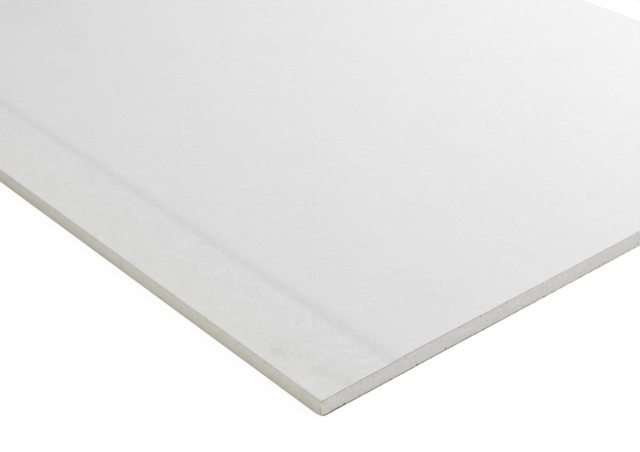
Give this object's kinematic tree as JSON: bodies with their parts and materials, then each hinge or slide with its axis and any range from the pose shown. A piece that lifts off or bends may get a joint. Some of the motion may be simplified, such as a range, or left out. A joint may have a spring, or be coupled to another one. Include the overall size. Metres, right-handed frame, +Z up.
{
  "type": "drywall sheet",
  "caption": "Flat rectangular gypsum wallboard: a solid core between a face paper and a back paper, with one long edge folded in paper over a shallow recess and three sawn sides.",
  "frame": {"origin": "middle of the underside, on the floor that the sheet lies on", "axes": "+X across the width, +Y along the length, +Z up out of the face"},
  "size_m": [0.6, 1.2, 0.0125],
  "materials": {
    "gypsum": "matte, fine-grained set plaster",
    "face_paper": "matte off-white paper",
    "back_paper": "matte grey-brown paper"
  },
  "bodies": {
    "root": {"gypsum_core": "gypsum", "face_paper": "face_paper", "back_paper": "back_paper"}
  },
  "joints": []
}
